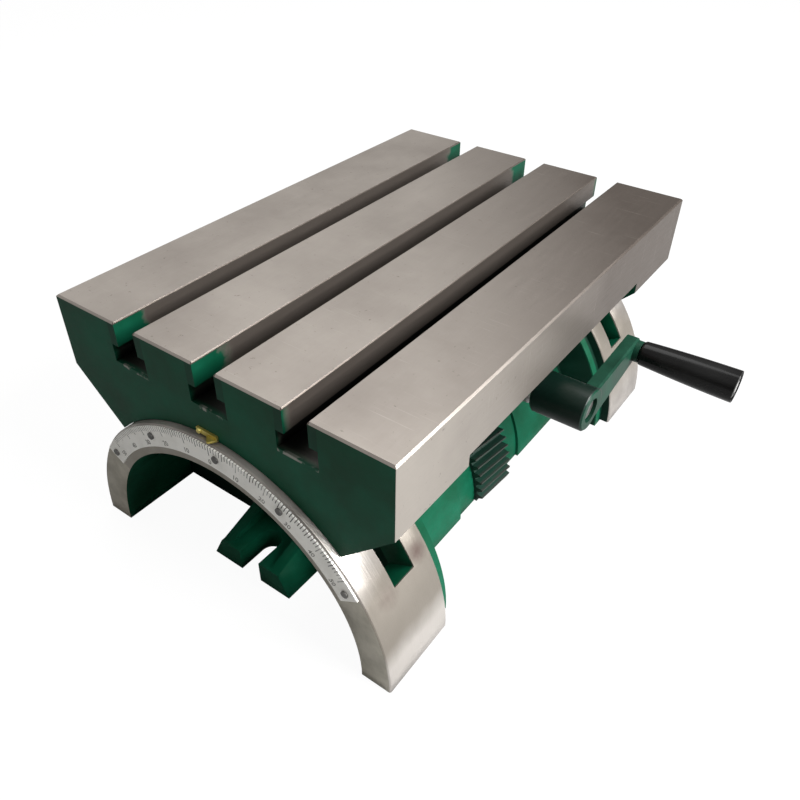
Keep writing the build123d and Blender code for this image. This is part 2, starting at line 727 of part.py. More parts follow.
# Crank: hub and flat arm in one casting, with a small boss under the grip
crank_turn = radians(crank_rest_angle)
grip_place = (crank_radius * cos(crank_turn), crank_radius * sin(crank_turn))
arm_start_x = hub_end_x - arm_thickness
boss_end_x = hub_end_x + tip_boss_height
hub_screw_plane = Plane(
    origin=(hub_start + set_screw_inset, 0, worm_axis_z), x_dir=(1, 0, 0), z_dir=(0, 0, -1)
)
with BuildPart() as crank:
    with BuildSketch(shaft_plane(hub_start)):
        Circle(hub_radius)
    extrude(amount=hub_length)
    with BuildSketch(shaft_plane(arm_start_x)):
        Circle(arm_root_radius)
        with Locations(grip_place):
            Circle(arm_tip_radius)
        make_hull()
    extrude(amount=arm_thickness)
    chamfer(crank.faces().filter_by(Axis.X).sort_by(Axis.X)[-1].edges(), arm_chamfer)
    chamfer(crank.faces().filter_by(Axis.X).sort_by(Axis.X)[0].edges(), hub_chamfer)
    with BuildSketch(shaft_plane(hub_end_x)):
        with Locations(grip_place):
            Circle(tip_boss_radius)
    extrude(amount=tip_boss_height)
    with BuildSketch(shaft_plane(hub_start)):
        Circle(shaft_radius + seat_gap / 2)
    extrude(amount=hub_length, mode=Mode.SUBTRACT)
    with BuildSketch(shaft_plane(arm_start_x)):
        with Locations(grip_place):
            Circle(spindle_radius + seat_gap / 2)
    extrude(amount=boss_end_x - arm_start_x, mode=Mode.SUBTRACT)
    with BuildSketch(hub_screw_plane):
        Circle(set_screw_diameter / 2 + thread_clearance)
    extrude(amount=hub_radius, mode=Mode.SUBTRACT)
save(crank, "crank")

with BuildPart() as crank_set_screw:
    with BuildSketch(hub_screw_plane.offset(shaft_radius + thread_clearance)):
        Circle(set_screw_diameter / 2)
    extrude(amount=hub_radius - shaft_radius - screw_recess)
    with BuildSketch(hub_screw_plane.offset(hub_radius - screw_recess)):
        RegularPolygon(set_screw_diameter / 4, 6)
    extrude(amount=-set_screw_diameter / 2, mode=Mode.SUBTRACT)
save(crank_set_screw, "crank_set_screw")

# Grip: a tapered turned handle that spins on a headed spindle
grip_start_x = boss_end_x + grip_gap
grip_end_x = grip_start_x + grip_length
grip_axis = Axis((0, grip_place[0], worm_axis_z + grip_place[1]), (1, 0, 0))
grip_side = Plane(origin=grip_axis.position, x_dir=(1, 0, 0), z_dir=(0, -1, 0))
with BuildPart() as grip:
    with BuildSketch(grip_side):
        with BuildLine():
            Polyline(
                (grip_start_x, spindle_radius + running_gap),
                (grip_start_x, grip_inner_radius - grip_round),
                (grip_start_x + grip_round, grip_inner_radius),
                (grip_end_x - grip_round, grip_outer_radius),
                (grip_end_x, grip_outer_radius - grip_round),
                (grip_end_x, spindle_head_radius + grip_gap),
                (grip_end_x - grip_recess, spindle_head_radius + grip_gap),
                (grip_end_x - grip_recess, spindle_radius + running_gap),
                close=True,
            )
        make_face()
    revolve(axis=grip_axis)
save(grip, "grip")

spindle_seat_x = grip_end_x - grip_recess + grip_gap
with BuildPart() as grip_spindle:
    with BuildSketch(shaft_plane(arm_start_x)):
        with Locations(grip_place):
            Circle(spindle_radius)
    extrude(amount=spindle_seat_x - arm_start_x)
    with BuildSketch(shaft_plane(spindle_seat_x)):
        with Locations(grip_place):
            Circle(spindle_head_radius)
    extrude(amount=spindle_head_height)
    with BuildSketch(shaft_plane(spindle_seat_x + spindle_head_height)):
        with Locations(grip_place):
            Rectangle(2 * spindle_head_radius, spindle_slot_width)
    extrude(amount=-spindle_slot_depth, mode=Mode.SUBTRACT)
save(grip_spindle, "grip_spindle")
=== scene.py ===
from math import pi, radians

import bpy
import numpy as np
from mathutils import Matrix, Vector


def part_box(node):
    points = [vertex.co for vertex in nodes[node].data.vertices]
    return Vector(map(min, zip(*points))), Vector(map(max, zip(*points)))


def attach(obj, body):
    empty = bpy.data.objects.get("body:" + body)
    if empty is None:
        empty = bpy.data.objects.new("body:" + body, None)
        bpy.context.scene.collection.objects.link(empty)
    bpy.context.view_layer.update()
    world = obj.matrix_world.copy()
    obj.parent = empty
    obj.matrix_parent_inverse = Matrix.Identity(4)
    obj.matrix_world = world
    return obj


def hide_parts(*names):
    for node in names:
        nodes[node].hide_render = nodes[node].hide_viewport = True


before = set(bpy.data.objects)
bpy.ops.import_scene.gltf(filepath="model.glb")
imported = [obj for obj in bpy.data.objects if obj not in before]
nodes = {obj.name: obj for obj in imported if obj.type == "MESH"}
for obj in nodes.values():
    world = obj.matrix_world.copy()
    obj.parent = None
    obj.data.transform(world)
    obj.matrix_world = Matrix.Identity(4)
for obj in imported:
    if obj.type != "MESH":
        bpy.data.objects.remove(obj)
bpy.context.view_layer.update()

# Camera, stood where the photograph was taken from: in front of the graduated
# ring, on the crank's side, and looking down on the table.
camera_place = (0.1921, -0.2707, 0.2921)
camera_yaw = 35.32
camera_pitch = 38.27
camera_roll = 0.93
camera_lens = 34.48
camera_near = 0.01

camera_data = bpy.data.cameras.new("camera")
camera_data.lens = camera_lens
camera_data.clip_start = camera_near
camera = bpy.data.objects.new("camera", camera_data)
bpy.context.collection.objects.link(camera)
camera.matrix_world = (
    Matrix.Translation(camera_place)
    @ Matrix.Rotation(radians(camera_yaw), 4, "Z")
    @ Matrix.Rotation(radians(90 - camera_pitch), 4, "X")
    @ Matrix.Rotation(radians(camera_roll), 4, "Z")
)
bpy.context.scene.camera = camera
bpy.context.scene.view_settings.view_transform = "Standard"

# Floor: a flat sheet of paper a hair below the foot face. The camera sees most
# of it as white, and keeps a faint shadow of the object on it.
floor_half = 3.0
floor_drop = 0.0004
floor_color = (0.30, 0.30, 0.30, 1)
floor_rough = 0.9
floor_glow = 0.82
floor_glow_strength = 1.16
white = (1, 1, 1, 1)

floor_mesh = bpy.data.meshes.new("floor")
floor_corners = ((-1, -1), (1, -1), (1, 1), (-1, 1))
floor_points = [(x * floor_half, y * floor_half, -floor_drop) for x, y in floor_corners]
floor_mesh.from_pydata(floor_points, [], [(0, 1, 2, 3)])
floor = bpy.data.objects.new("floor", floor_mesh)
bpy.context.collection.objects.link(floor)

paper = bpy.data.materials.new("floor_paper")
paper.use_nodes = True
paper_tree = paper.node_tree
paper_shader = paper_tree.nodes["Principled BSDF"]
paper_shader.inputs["Base Color"].default_value = floor_color
paper_shader.inputs["Roughness"].default_value = floor_rough
glow = paper_tree.nodes.new("ShaderNodeEmission")
glow.inputs["Color"].default_value = white
glow.inputs["Strength"].default_value = floor_glow_strength
floor_ray = paper_tree.nodes.new("ShaderNodeLightPath")
glow_share = paper_tree.nodes.new("ShaderNodeMath")
glow_share.operation = "MULTIPLY"
glow_share.inputs[1].default_value = floor_glow
glow_mix = paper_tree.nodes.new("ShaderNodeMixShader")
paper_tree.links.new(floor_ray.outputs["Is Camera Ray"], glow_share.inputs[0])
paper_tree.links.new(glow_share.outputs[0], glow_mix.inputs[0])
paper_tree.links.new(paper_shader.outputs[0], glow_mix.inputs[1])
paper_tree.links.new(glow.outputs[0], glow_mix.inputs[2])
paper_tree.links.new(glow_mix.outputs[0], paper_tree.nodes["Material Output"].inputs["Surface"])
floor_mesh.materials.append(paper)

# Lamps: a soft key light from the crank's side, and a weak one from above on
# the other side.
lamp_size = 0.7
lamp_aim = (0.0, 0.0, 0.06)
key_power = 46.0
key_place = (1.05, 0.17, 0.80)
top_power = 5.0
top_place = (-0.35, 0.35, 1.25)


def add_lamp(name, place, power):
    """A square soft light that points at the middle of the object."""
    data = bpy.data.lights.new(name, "AREA")
    data.shape = "SQUARE"
    data.size = lamp_size
    data.energy = power
    lamp = bpy.data.objects.new(name, data)
    bpy.context.collection.objects.link(lamp)
    lamp.location = place
    lamp.rotation_mode = "QUATERNION"
    lamp.rotation_quaternion = (Vector(place) - Vector(lamp_aim)).to_track_quat("Z", "Y")


add_lamp("key_light", key_place, key_power)
add_lamp("top_light", top_place, top_power)

# Sky: white to the camera. To the object it is dim, and bright high up on the
# left, which gives the ground metal its soft sheen.
sky_strength = 0.57
sky_bright = (1.0, 0.985, 0.965, 1)
sky_dim = (0.16, 0.15, 0.14, 1)
sky_bright_way = (-0.6, 0.0, 1.2)
sky_bright_from = 0.45
sky_bright_full = 1.0

world = bpy.data.worlds.new("pale_world")
bpy.context.scene.world = world
world.use_nodes = True
sky = world.node_tree
sky_light = sky.nodes["Background"]
sky_light.inputs["Strength"].default_value = sky_strength
sky_place = sky.nodes.new("ShaderNodeTexCoord")
sky_slope = sky.nodes.new("ShaderNodeVectorMath")
sky_slope.operation = "DOT_PRODUCT"
sky_slope.inputs[1].default_value = sky_bright_way
sky_share = sky.nodes.new("ShaderNodeMapRange")
sky_share.inputs["From Min"].default_value = sky_bright_from
sky_share.inputs["From Max"].default_value = sky_bright_full
sky_color = sky.nodes.new("ShaderNodeMix")
sky_color.data_type = "RGBA"
sky_color.inputs[6].default_value = sky_dim
sky_color.inputs[7].default_value = sky_bright
sky_white = sky.nodes.new("ShaderNodeBackground")
sky_white.inputs["Color"].default_value = white
sky_ray = sky.nodes.new("ShaderNodeLightPath")
sky_mix = sky.nodes.new("ShaderNodeMixShader")
sky.links.new(sky_place.outputs["Generated"], sky_slope.inputs[0])
sky.links.new(sky_slope.outputs["Value"], sky_share.inputs["Value"])
sky.links.new(sky_share.outputs["Result"], sky_color.inputs[0])
sky.links.new(sky_color.outputs[2], sky_light.inputs["Color"])
sky.links.new(sky_ray.outputs["Is Camera Ray"], sky_mix.inputs["Fac"])
sky.links.new(sky_light.outputs["Background"], sky_mix.inputs[1])
sky.links.new(sky_white.outputs["Background"], sky_mix.inputs[2])
sky.links.new(sky_mix.outputs["Shader"], sky.nodes["World Output"].inputs["Surface"])

# Base casting: one iron casting painted dark green, with its two half rings
# turned bright on the rim. The front ring's end face is bare beside and below
# the scale, and painted shade darkens the webs and the corner at the rear ring.
foundry_green = (0.0016, 0.048, 0.0215, 1)
foundry_green_light = (0.0034, 0.086, 0.045, 1)
# Colour of the painted shade on the webs and in the corner at the rear ring.
web_shade_green = (0.0012, 0.011, 0.007, 1)
rim_iron = (0.49, 0.46, 0.43, 1)
rim_iron_dark = (0.20, 0.18, 0.165, 1)
# Colour of the band of painted shade on the rims.
rim_shade_color = (0.205, 0.182, 0.152, 1)
rim_stain = (0.110, 0.078, 0.068, 1)
face_olive = (0.52, 0.49, 0.41, 1)
face_taupe = (0.36, 0.33, 0.285, 1)
face_grime = (0.26, 0.24, 0.19, 1)
paint_gloss = 0.11
paint_rough_low = 0.34
paint_rough_spread = 0.22
paint_grit_share = 0.3
mottle_range = (0.35, 0.65)
metal_gloss = 0.5
rim_rough_low = 0.25
rim_rough_spread = 0.25
rim_mark_range = (0.36, 0.60)
rim_smudge_share = 0.25
rim_metallic = 0.55
face_metallic = 0.30
rim_inner_radius = 0.0891
rim_outer_radius = 0.0895
face_depth = 0.0001
face_dirt_range = (0.35, 0.70)
scale_end_range = (radians(56.6), radians(57.4))
web_inner_y = 0.0795
web_outer_y = 0.0890
web_rim_radius = 0.0845
# Shares and patchiness of the painted shade on the webs and in that corner.
web_shade_share = 0.8
web_shade_range = (0.22, 0.42)
seam_start_y = 0.0850
seam_shade_share = 0.85
soft_edge = 0.0006
# Shape of the band of painted shade on the rims, by angle round the axis.
band_wave = 0.16
band_slant = 5.0
band_start = (radians(57), radians(65))
band_end = (radians(86), radians(79))
band_share = 0.88
stain_places = (((0.0770, -0.0945, 0.0466), 0.95), ((0.0795, -0.1180, 0.0422), 0.40))
stain_ragged = 0.006
stain_range = (0.0035, -0.0020)
casting_bump = 0.25
casting_bump_depth = 0.0004
casting_edge = 0.0005
weld_reach = 0.000002
sharp_angle = 30
base_front_y = float(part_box("base_casting")[0][1])
base_back_y = float(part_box("base_casting")[1][1])


class Finish:
    """A material in the making, with short ways to add nodes that read the object's own space."""

    def __init__(self, name):
        self.material = bpy.data.materials.new(name)
        self.material.use_nodes = True
        self.tree = self.material.node_tree
        self.shader = self.tree.nodes["Principled BSDF"]
        self.place = self.tree.nodes.new("ShaderNodeTexCoord").outputs["Object"]
        split = self.tree.nodes.new("ShaderNodeSeparateXYZ")
        self.tree.links.new(self.place, split.inputs[0])
        self.x, self.y, self.z = split.outputs

    def feed(self, socket, value):
        """Link a socket, or set it to a plain number or colour."""
        if isinstance(value, bpy.types.NodeSocket):
            self.tree.links.new(value, socket)
        else:
            socket.default_value = value

    def calc(self, operation, first, second=0.0):
        """One step of arithmetic."""
        node = self.tree.nodes.new("ShaderNodeMath")
        node.operation = operation
        self.feed(node.inputs[0], first)
        self.feed(node.inputs[1], second)
        return node.outputs[0]

    def plus(self, first, *others):
        """Sum."""
        for other in others:
            first = self.calc("ADD", first, other)
        return first

    def minus(self, first, second):
        """Difference."""
        return self.calc("SUBTRACT", first, second)

    def times(self, first, *others):
        """Product."""
        for other in others:
            first = self.calc("MULTIPLY", first, other)
        return first

    def size_of(self, value):
        """The value without its sign."""
        return self.calc("ABSOLUTE", value)

    def larger(self, first, second):
        """The larger of two values."""
        return self.calc("MAXIMUM", first, second)

    def smaller(self, first, second):
        """The smaller of two values."""
        return self.calc("MINIMUM", first, second)

    def is_below(self, value, limit):
        """1 where the value is below the limit, otherwise 0."""
        return self.calc("LESS_THAN", value, limit)

    def is_above(self, value, limit):
        """1 where the value is above the limit, otherwise 0."""
        return self.calc("GREATER_THAN", value, limit)

    def length_of(self, first, second):
        """Length of a line with these two parts at right angles."""
        return self.calc("SQRT", self.plus(self.times(first, first), self.times(second, second)))

    def from_axis(self):
        """Distance from the tilt axis."""
        return self.length_of(self.x, self.z)

    def round_axis(self):
        """Angle round the tilt axis in radians, from straight up."""
        return self.calc("ARCTAN2", self.x, self.z)

    def from_point(self, point):
        """Distance from a point of the object."""
        node = self.tree.nodes.new("ShaderNodeVectorMath")
        node.operation = "DISTANCE"
        self.tree.links.new(self.place, node.inputs[0])
        node.inputs[1].default_value = point
        return node.outputs["Value"]

    def ramp(self, value, low, high):
        """0 at low and 1 at high, straight between and level beyond."""
        node = self.tree.nodes.new("ShaderNodeMapRange")
        self.feed(node.inputs["Value"], value)
        node.inputs["From Min"].default_value = low
        node.inputs["From Max"].default_value = high
        return node.outputs["Result"]

    def stretch(self, scales):
        """The object's space, scaled by a different amount along each axis."""
        node = self.tree.nodes.new("ShaderNodeMapping")
        self.tree.links.new(self.place, node.inputs["Vector"])
        node.inputs["Scale"].default_value = scales
        return node.outputs["Vector"]

    def cloud(self, scale, detail=4.0, rough=0.55, where=None):
        """Fractal noise, about 0.5 on average."""
        node = self.tree.nodes.new("ShaderNodeTexNoise")
        self.feed(node.inputs["Vector"], where or self.place)
        node.inputs["Scale"].default_value = scale
        node.inputs["Detail"].default_value = detail
        node.inputs["Roughness"].default_value = rough
        return node.outputs["Fac"]

    def blend(self, share, first, second):
        """Colour that goes from first to second as share goes from 0 to 1."""
        node = self.tree.nodes.new("ShaderNodeMix")
        node.data_type = "RGBA"
        self.feed(node.inputs[0], share)
        self.feed(node.inputs[6], first)
        self.feed(node.inputs[7], second)
        return node.outputs[2]

    def weigh(self, share, first, second):
        """Number that goes from first to second as share goes from 0 to 1."""
        rest = self.minus(1.0, share)
        return self.plus(self.times(first, rest), self.times(second, share))

    def dents(self, height, strength, depth):
        """Bump from a height pattern, with its depth in metres."""
        node = self.tree.nodes.new("ShaderNodeBump")
        node.inputs["Strength"].default_value = strength
        node.inputs["Distance"].default_value = depth
        self.tree.links.new(height, node.inputs["Height"])
        self.tree.links.new(node.outputs["Normal"], self.shader.inputs["Normal"])

    def set(self, color, metallic, rough, gloss):
        """Feed the surface shader."""
        self.feed(self.shader.inputs["Base Color"], color)
        self.feed(self.shader.inputs["Metallic"], metallic)
        self.feed(self.shader.inputs["Roughness"], rough)
        self.feed(self.shader.inputs["Specular IOR Level"], gloss)


def dress(finish, *names):
    """Give CAD nodes one material."""
    for name in names:
        mesh = nodes[name].data
        mesh.materials.clear()
        mesh.materials.append(finish.material)


def green_enamel(finish):
    """Mottled green of thick machine paint: (colour, roughness, height)."""
    mottle = finish.cloud(38.0, detail=5.0)
    color = finish.blend(finish.ramp(mottle, *mottle_range), foundry_green, foundry_green_light)
    rough = finish.plus(paint_rough_low, finish.times(mottle, paint_rough_spread))
    peel = finish.cloud(260.0, detail=3.0)
    grit = finish.cloud(900.0, detail=2.0)
    height = finish.plus(peel, finish.times(grit, paint_grit_share))
    return color, rough, height


def turned_iron(finish):
    """Bright iron, streaked along the cut and banded across it: (colour, roughness, height)."""
    along_cut = finish.stretch((1.0, 22.0, 1.0))
    across_cut = finish.stretch((1.0, 0.25, 1.0))
    streaks = finish.cloud(60.0, detail=6.0, rough=0.6, where=along_cut)
    bands = finish.cloud(30.0, detail=2.0, rough=0.5, where=across_cut)
    smudges = finish.cloud(70.0)
    marks = finish.weigh(rim_smudge_share, bands, smudges)
    color = finish.blend(finish.ramp(marks, *rim_mark_range), rim_iron_dark, rim_iron)
    rough = finish.plus(rim_rough_low, finish.times(streaks, rim_rough_spread))
    return color, rough, streaks


def soften(name, width):
    """Merge a CAD node's loose triangles and round its sharp edges a little."""
    node = nodes[name]
    node.data.shade_smooth()
    weld = node.modifiers.new("weld", "WELD")
    weld.merge_threshold = weld_reach
    rounding = node.modifiers.new("edges", "BEVEL")
    rounding.width = width
    rounding.segments = 2
    rounding.angle_limit = radians(sharp_angle)
    rounding.harden_normals = True


base = Finish("base_enamel_and_bare_rims")
base_radius = base.from_axis()
base_turn = base.size_of(base.round_axis())
beyond_core = base.size_of(base.y)
front = base.is_below(base.y, base_front_y + face_depth)
rim = base.ramp(base_radius, rim_inner_radius, rim_outer_radius)

# The end face of the front ring, under and beside the scale.
face_dirt = base.ramp(base.cloud(55.0, detail=6.0, rough=0.65), *face_dirt_range)
face_color = base.blend(base.ramp(base_turn, *scale_end_range), face_taupe, face_olive)
face_color = base.blend(face_dirt, face_color, face_grime)

# Painted shade on the webs, patchy, and in the corner between the rear web and its ring.
paint, paint_rough, paint_height = green_enamel(base)
web_shade = base.times(
    base.is_above(beyond_core, web_inner_y),
    base.is_below(beyond_core, web_outer_y),
    base.ramp(base_radius, web_rim_radius, web_rim_radius - soft_edge),
    base.ramp(base.cloud(45.0, detail=4.0), *web_shade_range),
    web_shade_share,
)
seam_shade = base.times(
    base.ramp(base.y, seam_start_y, seam_start_y + soft_edge),
    base.is_below(base.y, web_outer_y),
    seam_shade_share,
)
paint = base.blend(web_shade, paint, web_shade_green)
paint = base.blend(seam_shade, paint, web_shade_green)

# The rims, with a band of painted shade from the end of the scale down to a
# bright strip at the foot, and a brown stain beside the ring slot.
iron, iron_rough, iron_height = turned_iron(base)
wavy_turn = base.plus(base_turn, base.times(base.cloud(28.0, detail=3.0), band_wave))
slanted_turn = base.plus(wavy_turn, base.times(base.minus(base_back_y, beyond_core), band_slant))
rim_shade_band = base.times(base.ramp(slanted_turn, *band_start), base.ramp(wavy_turn, *band_end), band_share)
iron = base.blend(rim_shade_band, iron, rim_shade_color)
for place, share in stain_places:
    reach = base.minus(base.from_point(place), base.times(base.cloud(160.0), stain_ragged))
    iron = base.blend(base.times(base.ramp(reach, *stain_range), share), iron, rim_stain)

bare = base.larger(front, rim)
base.set(
    color=base.blend(rim, base.blend(front, paint, face_color), iron),
    metallic=base.plus(base.times(rim, rim_metallic), base.times(front, face_metallic)),
    rough=base.weigh(bare, paint_rough, iron_rough),
    gloss=base.weigh(bare, paint_gloss, metal_gloss),
)
base.dents(base.weigh(bare, paint_height, iron_height), casting_bump, casting_bump_depth)
dress(base, "base_casting")
soften("base_casting", casting_edge)

# Worm sector: a half ring of cast iron with hobbed teeth, let into a groove of
# the core. Its tooth tips are rubbed bright and the spaces are full of green
# paint and grease. Four cap screws hold it from inside the core.
tooth_green = (0.003, 0.024, 0.015, 1)
tooth_iron = (0.045, 0.052, 0.044, 1)
tooth_metallic = 0.7
tooth_rough_low = 0.38
tooth_rough_spread = 0.25
tooth_tip_radius = 0.0645
tooth_rub_range = (tooth_tip_radius - 0.0012, tooth_tip_radius - 0.0003)
tooth_patch_range = (0.25, 0.60)

teeth = Finish("hobbed_teeth")
rubbed = teeth.times(
    teeth.ramp(teeth.from_axis(), *tooth_rub_range),
    teeth.ramp(teeth.cloud(180.0), *tooth_patch_range),
)
teeth.set(
    color=teeth.blend(rubbed, tooth_green, tooth_iron),
    metallic=teeth.times(rubbed, tooth_metallic),
    rough=teeth.plus(tooth_rough_low, teeth.times(teeth.cloud(90.0), tooth_rough_spread)),
    gloss=metal_gloss,
)
teeth.dents(teeth.cloud(700.0), strength=0.2, depth=0.0003)
dress(teeth, "worm_sector")

# Fasteners: blackened cap screws hold the sector and the worm bracket, and
# blackened hexagon bolts go through the ring slots into the saddles.
clamp_places = ("front_left", "front_right", "rear_left", "rear_right")
tarnish_range = (0.35, 0.70)
tarnish_rough_spread = 0.2


def plain_metal(name, dark, light, metallic, rough):
    """Metal with cloudy tarnish and fine turning marks across the part."""
    finish = Finish(name)
    tone_shift = finish.cloud(120.0, detail=4.0)
    finish.set(
        color=finish.blend(finish.ramp(tone_shift, *tarnish_range), dark, light),
        metallic=metallic,
        rough=finish.plus(rough, finish.times(tone_shift, tarnish_rough_spread)),
        gloss=metal_gloss,
    )
    finish.dents(finish.cloud(1500.0, detail=2.0), strength=0.15, depth=0.0001)
    return finish


black_oxide = plain_metal(
    "black_oxide_steel",
    dark=(0.012, 0.012, 0.013, 1),
    light=(0.035, 0.034, 0.033, 1),
    metallic=0.6,
    rough=0.32,
)
dress(black_oxide, "sector_screws", "bracket_screws", "shaft_nut")
dress(black_oxide, "collar_screw", "crank_set_screw")
dress(black_oxide, *[f"clamp_bolt_{place}" for place in clamp_places])

# Worm, its shaft and pin, the washer, the collar and the clamp shoes: all of
# bare turned or milled steel.
bare_steel = plain_metal(
    "bare_turned_steel",
    dark=(0.30, 0.29, 0.28, 1),
    light=(0.50, 0.49, 0.47, 1),
    metallic=0.9,
    rough=0.24,
)
dress(bare_steel, "worm", "worm_shaft", "worm_pin", "shaft_washer", "thrust_collar")
dress(bare_steel, *[f"clamp_shoe_{place}" for place in clamp_places])

# Bushes: three flanged bronze bushes, pressed into the bracket, in which the
# worm shaft turns.
bush_bronze = plain_metal(
    "bearing_bronze",
    dark=(0.30, 0.17, 0.06, 1),
    light=(0.50, 0.31, 0.12, 1),
    metallic=0.9,
    rough=0.28,
)
dress(bush_bronze, "bush_left", "bush_right", "bush_outer")

# Angle scale: a thin arc of matt metal riveted to the front ring. Every degree
# has a line, longer at each fifth and tenth, worn in places.
scale_metal = (0.93, 0.92, 0.87, 1)
scale_metal_dirty = (0.80, 0.79, 0.74, 1)
scale_ink = (0.035, 0.035, 0.032, 1)
scale_metallic = 0.1
scale_rough_low = 0.42
scale_rough_spread = 0.2
scale_dirt_range = (0.48, 0.75)
scale_limit = 50.5
line_half_angle = 0.13
line_starts = ((1.0, 0.0868), (5.0, 0.0857), (10.0, 0.0847))
line_turns = 100
line_wear_range = (0.20, 0.55)

scale = Finish("engraved_scale")
scale_turn = scale.times(scale.round_axis(), 180 / pi)
scale_radius = scale.from_axis()
lines = 0.0
for spacing, start in line_starts:
    steps = scale.calc("DIVIDE", scale_turn, spacing)
    share = scale.calc("FRACT", scale.plus(steps, line_turns + 0.5))
    off = scale.times(scale.size_of(scale.minus(share, 0.5)), spacing)
    line = scale.times(scale.is_below(off, line_half_angle), scale.is_above(scale_radius, start))
    lines = scale.larger(lines, line)
worn_lines = scale.times(
    lines,
    scale.is_below(scale.size_of(scale_turn), scale_limit),
    scale.ramp(scale.cloud(150.0), *line_wear_range),
)
dirt = scale.ramp(scale.cloud(70.0, detail=6.0, rough=0.65), *scale_dirt_range)
scale.set(
    color=scale.blend(worn_lines, scale.blend(dirt, scale_metal, scale_metal_dirty), scale_ink),
    metallic=scale_metallic,
    rough=scale.plus(scale_rough_low, scale.times(dirt, scale_rough_spread)),
    gloss=metal_gloss,
)
scale.dents(scale.minus(scale.cloud(400.0), worn_lines), strength=0.35, depth=0.00015)
dress(scale, "scale_plate")

# Rivets: five flat steel heads that hold the scale to the ring.
rivet_steel = plain_metal(
    "rivet_steel",
    dark=(0.10, 0.10, 0.095, 1),
    light=(0.24, 0.235, 0.22, 1),
    metallic=0.7,
    rough=0.35,
)
dress(rivet_steel, "scale_rivets")

# Figures of the scale: plain numbers under each tenth line, 0 in the middle
# and up to 50 on each side, filled with faded ink.
number_radius = 0.0812
number_height = 0.0024
number_rise = 0.00006
number_step = 10
number_count = 5
figure_share = 0.7
scale_face_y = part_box("scale_plate")[0][1]


def mesh_of_text(name, words):
    """Flat figures, centred on the origin, in the plane of X and Y."""
    curve = bpy.data.curves.new(name, "FONT")
    curve.body = words
    curve.size = number_height / figure_share
    curve.align_x = "CENTER"
    curve.align_y = "CENTER"
    curve.extrude = number_rise / 2
    text = bpy.data.objects.new(name, curve)
    bpy.context.collection.objects.link(text)
    bpy.context.view_layer.update()
    graph = bpy.context.evaluated_depsgraph_get()
    mesh = bpy.data.meshes.new_from_object(text.evaluated_get(graph))
    bpy.data.objects.remove(text)
    mesh.name = name
    return mesh


ink = plain_metal(
    "engraved_figures",
    dark=(0.12, 0.12, 0.11, 1),
    light=(0.28, 0.275, 0.25, 1),
    metallic=0.0,
    rough=0.5,
)
for tens in range(-number_count, number_count + 1):
    mesh = mesh_of_text(f"scale_number_{tens + number_count}", str(abs(tens) * number_step))
    mesh.transform(
        Matrix.Rotation(radians(tens * number_step), 4, "Y")
        @ Matrix.Translation((0, scale_face_y - number_rise / 2, number_radius))
        @ Matrix.Rotation(pi / 2, 4, "X")
    )
    mesh.materials.clear()
    mesh.materials.append(ink.material)
    number = bpy.data.objects.new(mesh.name, mesh)
    bpy.context.collection.objects.link(number)
    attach(number, "base")

# Table casting: ground bright on the top and the long sides, and painted green
# on its ends and underneath. The ground faces carry painted shade towards the
# back right, and some paint has run a little way into the slots.
land_iron = (0.39, 0.354, 0.32, 1)
land_iron_dark = (0.29, 0.259, 0.233, 1)
side_iron = (0.47, 0.43, 0.385, 1)
# Colour of the painted shade on the ground faces; the specks use it too.
shade_and_speck_iron = (0.120, 0.100, 0.086, 1)
chipped_iron = (0.30, 0.30, 0.27, 1)
slot_iron = (0.13, 0.11, 0.095, 1)
# Painted shade in the slots: black under the neck, and darker paint.
slot_shade_black = (0.010, 0.011, 0.009, 1)
slot_shade_green = (0.0008, 0.016, 0.009, 1)
slot_shade_share = 0.45
ground_metallic = 0.75
ground_rough_low = 0.30
ground_rough_spread = 0.22
table_low, table_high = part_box("table_casting")
table_front_y = float(table_low[1])
table_back_y = float(table_high[1])
table_top = float(table_high[2])
top_skin = (table_top - 0.00088, table_top - 0.00080)
side_skin = (float(table_high[0]) - 0.00016, float(table_high[0]) - 0.00012)
land_mark_range = (0.32, 0.68)
side_mark_range = (0.20, 0.50)
# Painted shade towards the back right, on the long sides and on the right land.
shade_lean = 1.5
shade_patchy = 0.10
side_shade = 0.030
shade_reach = (0.075, 0.250)
right_land_share = 0.14
right_land_edge = 0.01
speck_range = (0.66, 0.73)
speck_share = 0.55
scratch_range = (0.64, 0.72)
scratch_share = 0.30
slot_pitch = 0.0455
slot_half_width = 0.01005
slot_floor = 0.105
slot_floor_skin = (slot_floor - 0.0002, slot_floor - 0.0001)
neck_bottom = 0.1135
neck_skin = (neck_bottom + 0.0004, neck_bottom - 0.0006)
# Reach of the painted shade on the chamfers at the slot mouths.
mouth_half_width = 0.0066
mouth_depth = 0.00003
overspray_reach = 0.026
overspray_range = (-0.001, 0.003)
overspray_least = 0.1
overspray_side = (0.75 * slot_pitch, 0.50 * slot_pitch)
# Where the painted shade under the neck begins, measured from each end.
under_neck_shade_start = (0.0004, 0.0030)
chip_below_floor = 0.0007
chip_height_range = (0.0010, 0.0006)
chip_depth = 0.0012
chip_patch_range = (0.52, 0.60)

table = Finish("ground_top_and_green_ends")
across = table.size_of(table.x)
from_end = table.smaller(table.minus(table.y, table_front_y), table.minus(table_back_y, table.y))
beside_slot = table.smaller(across, table.size_of(table.minus(across, slot_pitch)))
top = table.ramp(table.z, *top_skin)
side = table.ramp(across, *side_skin)
ground_share = table.larger(top, side)
in_slot = table.times(
    table.is_below(beside_slot, slot_half_width),
    table.ramp(table.z, *slot_floor_skin),
    table.minus(1.0, top),
)

